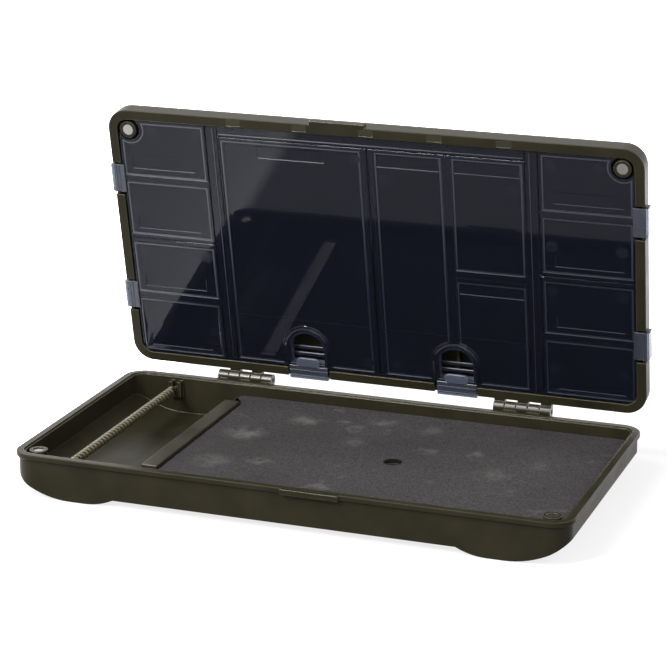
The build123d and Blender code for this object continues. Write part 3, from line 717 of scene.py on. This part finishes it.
def mirrored(loop):
    # the same outline on the other side of the lid, still anticlockwise
    return loop[::-1] * (-1, 1)


def archedPocket(x0, x1, up0, up1, archX, radius, top):
    # a rectangle with the part over an arch left out of its lower edge
    first = 180.0 if x0 < archX - radius else math.degrees(math.acos((x0 - archX) / radius))
    last = 0.0 if x1 > archX + radius else math.degrees(math.acos((x1 - archX) / radius))
    before = [[x0, up0], [archX - radius, up0]] if first == 180.0 else np.zeros((0, 2))
    after = [[archX + radius, up0], [x1, up0]] if last == 0.0 else np.zeros((0, 2))
    bend = arc(archX, top - radius, radius, first, last, 24)
    return np.concatenate([before, bend, after, [[x1, up1], [x0, up1]]])


def panel(loop, look):
    # pocket with a satin border round its polished floor
    drop, bevel = look["panelDropMm"], look["panelBevelMm"]
    floor = insetLoop(loop, bevel + look["bandMm"])
    return recess(loop, drop, bevel, satin) + [(floor, -drop, polished)]


def window(x0, x1, up0, up1, look):
    # a second, shallower pocket in the floor of a panel
    return recess(rectangle(x0, x1, up0, up1), look["windowDropMm"], look["windowBevelMm"], polished,
                  -look["panelDropMm"])


def ejector(x, up, look):
    # the faint round mark of an ejector pin
    circle, floor = arc(x, up, look["ejectorMm"], 0, 345, 24), -look["panelDropMm"]
    inner = insetLoop(circle, look["ejectorLipMm"])
    return [(circle, floor, polished), (inner, floor - look["ejectorDropMm"], frosted)]


sideColumn = {
    "outerMm": 173.4, "innerMm": 111.85, "pocketOuterMm": 172.2, "pocketInnerMm": 113.4,
    "windowMm": (121.5, 166.2), "skirtMm": (112.9, 171.0), "tabHalfMm": 9.85,
}
upperSide = {
    "lowMm": 92.4, "highMm": 177.9, "farHighMm": 169.9, "topPocketMm": (137.6, 176.0),
    "lowPocketMm": (94.8, 133.4), "lowSkirtMm": (94.1, 133.4),
    "magnetMm": (166, 170.9), "cutMm": 7.2, "cutDegrees": (104, 352), "pocketCutMm": 8.8,
    "windowsMm": [(142.8, 151.4), (99.3, 107.9)], "tabMm": 135.28,
    "ejectorsMm": [(119.5, 169.5), (150.5, 169.5), (119.5, 113.5), (165.0, 113.5)],
}
lowerSide = {
    "edgesMm": (6.6, 92.1), "topPocketMm": (51.6, 88.9), "lowPocketMm": (8.0, 46.9), "lowRoundMm": 1.2,
    "skirtsMm": [(51.0, 90.4), (8.9, 47.4)], "windowsMm": [(56.4, 65.0), (11.3, 20.3)], "tabMm": 49.22,
    "ejectorsMm": [(119.5, 82.3), (165.0, 82.3), (119.5, 26.0), (165.0, 26.0)],
}


def sideTabProfile():
    # root on the cover's edge, bridge over the lid's frame with three ribs, leg down the lid's side
    points = [(171.9, -1.5), (173.4, -1.5), (173.4, -0.5), (180.4, -0.5), (180.4, -7.0), (181.9, -7.0),
              (181.9, 0.6), (181.5, 1.0)]
    for rib in (179.8, 177.8, 175.8):
        points += [(rib + 0.5, 1.0), (rib + 0.2, 1.3), (rib - 0.2, 1.3), (rib - 0.5, 1.0)]
    return np.array(points + [(172.3, 1.0), (171.9, 0.6)])


def sideDetails(look, column, cover):
    # what both side covers have: windows, ejector marks and one latch
    steps = []
    for up in cover["windowsMm"]:
        steps += window(*column["windowMm"], *up, look)
    for spot in cover["ejectorsMm"]:
        steps += ejector(*spot, look)
    middle, half = cover["tabMm"], column["tabHalfMm"]
    return steps, [("up", middle - half, middle + half, sideTabProfile())]


def upperSideCover(look, column, cover):
    # the free corner is cut round the lid's magnet
    x, up = cover["magnetMm"]
    far, near, foot = column["outerMm"], column["innerMm"], cover["lowMm"]
    cut = arc(x, up, cover["cutMm"], *cover["cutDegrees"], 22)
    outline = np.concatenate([[[near, foot], [far, foot], [far, cover["farHighMm"]]], cut[::-1],
                              [[near, cover["highMm"]]]])
    low, high, r = column["pocketInnerMm"], column["pocketOuterMm"], cover["pocketCutMm"]
    bottom, top = cover["topPocketMm"]
    first = math.degrees(math.asin((top - up) / r))
    last = math.degrees(math.acos((high - x) / r))
    bite = arc(x, up, r, 180 - first, 360 - last, 16)
    topPocket = np.concatenate([[[low, bottom], [high, bottom]], bite[::-1], [[low, top]]])
    details, tabs = sideDetails(look, column, cover)
    steps = panel(topPocket, look) + panel(rectangle(low, high, *cover["lowPocketMm"]), look) + details
    skirts = [topPocket, rectangle(*column["skirtMm"], *cover["lowSkirtMm"])]
    return {"outline": outline, "steps": steps, "skirts": skirts, "tabs": tabs}


def lowerSideCover(look, column, cover):
    low, high = column["pocketInnerMm"], column["pocketOuterMm"]
    details, tabs = sideDetails(look, column, cover)
    steps = panel(rectangle(low, high, *cover["topPocketMm"]), look)
    steps += panel(rectangle(low, high, *cover["lowPocketMm"], cover["lowRoundMm"]), look) + details
    outline = rectangle(column["innerMm"], column["outerMm"], *cover["edgesMm"])
    skirts = [rectangle(*column["skirtMm"], *edges) for edges in cover["skirtsMm"]]
    return {"outline": outline, "steps": steps, "skirts": skirts, "tabs": tabs}


def mirroredPlan(plan):
    # the cover on the left is the right one seen in a mirror
    tabs = [(along, low, high, mirrored(profile)) for along, low, high, profile in plan["tabs"]]
    steps = [(mirrored(loop), rise, kind) for loop, rise, kind in plan["steps"]]
    return {"outline": mirrored(plan["outline"]), "steps": steps, "tabs": tabs,
            "skirts": [mirrored(loop) for loop in plan["skirts"]]}


centreCover = {
    "lowMm": 6.6, "highMm": 170.2, "ringMm": 16.0, "ringTopMm": 36.5, "ringFootMm": 7.6, "ringRiseMm": 0.8,
    "ringBevelMm": 1.2, "holeMm": 12.0, "holeTopMm": 32.5, "holeFootMm": 10.0, "bayMm": 17.0,
    "bayTopMm": 37.5, "archMm": 52.2, "quietMm": 2.6, "latchHalfMm": 13.7,
    "fingerHalfMm": 8.3, "fingerUpMm": (6.9, 13.9), "fingerRoundMm": 3.2, "fingerDepthMm": (-0.5, 1.0),
    "barHalfMm": 12.4, "barsMm": (12.8, 17.8), "barWideMm": 2.6, "barRoundMm": 0.5,
    "barDepthMm": (-6.4, -5.0),
}
# boxes are (left, right, low, high); a pocket that ends in True goes round the thumb arch
leftHalf = {
    "side": -1, "edgesMm": (-103.2, -1.3), "pocketsMm": [(-102.0, -5.2, 8.6, 168.5, True)],
    "windowsMm": [(-76.7, -30.3, 157.3, 165.9)], "skirtsMm": [(-101.6, -3.8, 41.0, 169.2)],
    "ejectorsMm": [(-95.5, 162.6), (-9.8, 162.0), (-9.8, 15.5)],
}
rightHalf = {
    "side": 1, "edgesMm": (-0.7, 103.2),
    "pocketsMm": [(3.6, 48.8, 8.6, 168.5, True), (55.2, 101.9, 89.9, 168.5, False),
                  (55.2, 101.9, 8.6, 82.4, True)],
    "windowsMm": [(5.3, 47.1, 158.0, 166.8), (56.9, 100.2, 158.0, 166.8), (56.9, 100.2, 73.2, 80.7)],
    "skirtsMm": [(1.3, 49.1, 41.0, 169.2), (54.4, 101.6, 90.0, 169.2), (54.4, 101.6, 41.0, 85.0)],
    "ejectorsMm": [(10.5, 150.5), (94.5, 150.5), (11.3, 16.0)],
}


def centreLatchProfile():
    # root on the cover's edge, bridge over the frame with two ribs, leg down the lid's back
    points = [(-0.4, -0.5), (6.6, -0.5), (6.6, -1.5), (8.1, -1.5), (8.1, 0.6), (7.7, 1.0)]
    for rib in (4.4, 0.6):
        points += [(rib + 0.7, 1.0), (rib + 0.3, 1.25), (rib - 0.3, 1.25), (rib - 0.7, 1.0)]
    return np.array(points + [(-1.5, 1.0), (-1.9, 0.6), (-1.9, -7.0), (-0.4, -7.0)])


def centreCoverPlan(look, centre, half):
    # pockets round the thumb arch, the arch's raised ring, the latch, and two bars in the tube
    x = half["side"] * centre["archMm"]
    bay, top, low = centre["bayMm"], centre["bayTopMm"], centre["lowMm"]
    steps = []
    for *box, arched in half["pocketsMm"]:
        steps += panel(archedPocket(*box, x, bay, top) if arched else rectangle(*box), look)
    for spot in half["windowsMm"]:
        steps += window(*spot, look)
    for spot in half["ejectorsMm"]:
        steps += ejector(*spot, look)
    ring = archLoop(x, centre["ringMm"], centre["ringTopMm"], centre["ringFootMm"])
    steps += ridge(ring, centre["ringRiseMm"], centre["ringBevelMm"], polished)
    hole = archLoop(x, centre["holeMm"], centre["holeTopMm"], centre["holeFootMm"])
    finger, wide, latch = centre["fingerHalfMm"], centre["barHalfMm"], centre["latchHalfMm"]
    tab = rectangle(x - finger, x + finger, *centre["fingerUpMm"], centre["fingerRoundMm"], 7)
    bars = [rectangle(x - wide, x + wide, up, up + centre["barWideMm"], centre["barRoundMm"])
            for up in centre["barsMm"]]
    return {
        "outline": rectangle(*half["edgesMm"], low, centre["highMm"]), "steps": steps, "holes": [hole],
        "ringRise": centre["ringRiseMm"], "skirts": [rectangle(*box) for box in half["skirtsMm"]],
        "tabs": [("x", x - latch, x + latch, centreLatchProfile())],
        "quiet": archLoop(x, bay + centre["quietMm"], top + centre["quietMm"], low - 1),
        "slabs": [(tab, *centre["fingerDepthMm"], milky)]
                 + [(bar, *centre["barDepthMm"], satin) for bar in bars],
    }


# rows of dashes or lines: how many, the middle of the row, the pitch, half the width of one
sideStrip = {
    "outlineMm": (103.35, 111.55, 6.5, 177.75), "ribMm": (106.0, 106.9, 8.0, 176.5), "ribRiseMm": 0.2,
    "ribBevelMm": 0.25, "dashes": 13, "middleMm": 92.25, "pitchMm": 12.75, "dashMm": (104.3, 105.3),
    "dashHalfMm": 1.6, "dashDropMm": 0.35, "dashBevelMm": 0.2,
}
centreStrip = {
    "outlineMm": (-103.2, 103.2, 170.5, 177.9), "ribMm": (-102.6, 102.6, 171.6, 172.6), "ribRiseMm": 0.2,
    "ribBevelMm": 0.3, "lines": 6, "middleMm": -1.0, "pitchMm": 28.9, "lineMm": (173.4, 176.9),
    "lineHalfMm": 0.4, "lineDropMm": 0.3, "lineBevelMm": 0.2,
}


def sideStripPlan(strip):
    # the fixed strip of a column, with a fine rib and a row of short dashes beside it
    half = strip["dashHalfMm"]
    steps = ridge(rectangle(*strip["ribMm"]), strip["ribRiseMm"], strip["ribBevelMm"])
    for n in range(strip["dashes"]):
        up = strip["middleMm"] + (n - (strip["dashes"] - 1) / 2) * strip["pitchMm"]
        dash = rectangle(*strip["dashMm"], up - half, up + half)
        steps += recess(dash, strip["dashDropMm"], strip["dashBevelMm"], polished)
    return {"outline": rectangle(*strip["outlineMm"]), "steps": steps, "skirts": [], "tabs": []}


def centreStripPlan(strip):
    # the fixed strip along the top, crossed by fine lines
    half = strip["lineHalfMm"]
    steps = []
    for n in range(strip["lines"]):
        x = (n - (strip["lines"] - 1) / 2) * strip["pitchMm"] + strip["middleMm"]
        line = rectangle(x - half, x + half, *strip["lineMm"])
        steps += recess(line, strip["lineDropMm"], strip["lineBevelMm"], polished)
    steps += ridge(rectangle(*strip["ribMm"]), strip["ribRiseMm"], strip["ribBevelMm"])
    return {"outline": rectangle(*strip["outlineMm"]), "steps": steps, "skirts": [], "tabs": []}


def placeCover(node, plan, body=None):
    sheets = makeCover(plan, coverLook)
    points = openLid(np.concatenate(sheets.points), lidPose)
    materials = [smokePlastic, satinPlastic, edgePlastic, milkyPlastic, frostPlastic, cloudyPlastic]
    piece = meshObject(node + "_relief", points, sheets.faces, materials)
    piece.data.polygons.foreach_set("material_index", sheets.kinds)
    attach(piece, body or node)
    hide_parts(node)


rightUpper = upperSideCover(coverLook, sideColumn, upperSide)
rightLower = lowerSideCover(coverLook, sideColumn, lowerSide)
rightStrip = sideStripPlan(sideStrip)
placeCover("right_upper_cover", rightUpper)
placeCover("right_lower_cover", rightLower)
placeCover("left_upper_cover", mirroredPlan(rightUpper))
placeCover("left_lower_cover", mirroredPlan(rightLower))
placeCover("centre_left_cover", centreCoverPlan(coverLook, centreCover, leftHalf))
placeCover("centre_right_cover", centreCoverPlan(coverLook, centreCover, rightHalf))
placeCover("left_hinge_strip", mirroredPlan(rightStrip), "lid")
placeCover("right_hinge_strip", rightStrip, "lid")
placeCover("centre_hinge_strip", centreStripPlan(centreStrip), "lid")
print("relief covers ready")


# inlays on the lid's front frame

catchInlay = {
    "count": 5, "pitchMm": 45.4, "lengthMm": 9.1, "widthMm": 4.0, "cornerMm": 0.3, "edgeMm": 0.1,
    "upMm": 181.4, "lowMm": 1.12, "highMm": 1.34,
}


def makeCatchInlays(look):
    # smooth rectangles let into the frame, a pitch apart
    sheets = Sheets()
    half, wide, up = look["lengthMm"] / 2, look["widthMm"] / 2, look["upMm"]
    for n in range(look["count"]):
        x = (n - (look["count"] - 1) / 2) * look["pitchMm"]
        loop = rectangle(x - half, x + half, up - wide, up + wide, look["cornerMm"])
        addSlab(sheets, loop, look["lowMm"], look["highMm"], polished, look["edgeMm"])
    points = openLid(np.concatenate(sheets.points), lidPose)
    meshPiece("catch_inlays", points, sheets.faces, inlayPlastic, "lid", smooth=False)


makeCatchInlays(catchInlay)
print("catch inlays ready")


# studio

studio = {
    "floorMetres": 8, "floorColour": "#8c8c8c", "floorGlow": 0.79, "diffuseSky": 0.32, "seenSky": 2.4,
    "sideGlows": [(-0.45, 1.6), (-0.27, 2.2), (-0.215, 2.9), (-0.195, 3.5), (-0.183, 0.79)],
    "backGlow": (0.12, 0.5, 2.3), "lampTarget": (0, 0, 0.05),
}
softboxes = {  # place and side in metres, power in watts
    "key softbox": ((-0.6, -1.1, 0.93), 0.32, 14),
    "high softbox": ((-0.45, -0.7, 1.3), 0.45, 11),
    "right softbox": ((1.2, -0.45, 0.95), 0.9, 7),
    "front softbox": ((0.2, -1.6, 0.95), 0.9, 5),
}


def makeFloor(look):
    material, tree, output = newMaterial("white studio floor")
    seen = backgroundRays(tree)
    # the sweep is lit harder to the left and behind, so its glow grows along X and Y
    place = addNode(tree, "ShaderNodeTexCoord").outputs["Object"]
    parts = addNode(tree, "ShaderNodeSeparateXYZ", Vector=place).outputs
    nearY, farY, more = look["backGlow"]
    level = mapRange(tree, parts["Y"], nearY, farY, look["floorGlow"], look["floorGlow"] + more)
    for (farX, farGlow), (nearX, nearGlow) in zip(look["sideGlows"], look["sideGlows"][1:]):
        step = mapRange(tree, parts["X"], farX, nearX, farGlow - nearGlow, 0)
        level = mathNode(tree, "ADD", level, step)
    glow = mathNode(tree, "MULTIPLY", seen, level)
    paint = addNode(tree, "ShaderNodeBsdfDiffuse", Color=srgb(look["floorColour"]))
    light = addNode(tree, "ShaderNodeEmission", Color=(1, 1, 1, 1), Strength=glow)
    both = addNode(tree, "ShaderNodeAddShader", i0=paint.outputs[0], i1=light.outputs[0])
    finishMaterial(material, tree, output, both)
    half = look["floorMetres"] / 2
    corners = [(-half, -half, 0), (half, -half, 0), (half, half, 0), (-half, half, 0)]
    floor = meshObject("studio_floor", corners, [(0, 1, 2, 3)], [material])


def makeSky(look):
    world = bpy.data.worlds.new("white studio")
    world.use_nodes = True
    tree = world.node_tree
    tree.nodes.clear()
    strength = mapRange(tree, backgroundRays(tree), 0, 1, look["diffuseSky"], look["seenSky"])
    back = addNode(tree, "ShaderNodeBackground", Color=(1, 1, 1, 1), Strength=strength)
    addNode(tree, "ShaderNodeOutputWorld", Surface=back.outputs[0])
    bpy.context.scene.world = world


def addSoftbox(name, place, size, power, target):
    lamp = bpy.data.lights.new(name, "AREA")
    lamp.shape, lamp.size, lamp.energy = "SQUARE", size, power
    box = bpy.data.objects.new(name, lamp)
    box.location = place
    box.rotation_euler = (Vector(target) - Vector(place)).to_track_quat("-Z", "Y").to_euler()
    bpy.context.scene.collection.objects.link(box)


makeFloor(studio)
makeSky(studio)
for name, (place, size, power) in softboxes.items():
    addSoftbox(name, place, size, power, studio["lampTarget"])

photoCamera = {
    "placeMm": (503.04, -1354.42, 536.88), "yawDegrees": 19.775, "pitchDegrees": 17.66, "rollDegrees": 0.1,
    "focalPixels": 2424.5, "framePixels": 667, "shift": (-0.0334, 0.0485), "sensorMm": 36, "farMetres": 50,
}


def makeCamera(look):
    camera = bpy.data.cameras.new("photo camera")
    camera.sensor_width = look["sensorMm"]
    camera.lens = look["focalPixels"] / look["framePixels"] * camera.sensor_width
    camera.shift_x, camera.shift_y = look["shift"]
    camera.clip_end = look["farMetres"]
    holder = bpy.data.objects.new("photo camera", camera)
    x, y, z = look["placeMm"]
    holder.location = Vector((x, y + trayMiddleMm, z)) * mm
    aim = Euler((math.radians(90 - look["pitchDegrees"]), 0, math.radians(look["yawDegrees"])))
    turn = aim.to_matrix() @ Matrix.Rotation(math.radians(look["rollDegrees"]), 3, "Z")
    holder.rotation_euler = turn.to_euler()
    bpy.context.scene.collection.objects.link(holder)
    bpy.context.scene.camera = holder


makeCamera(photoCamera)
bpy.context.scene.view_settings.view_transform = "Standard"
print("studio and camera ready")
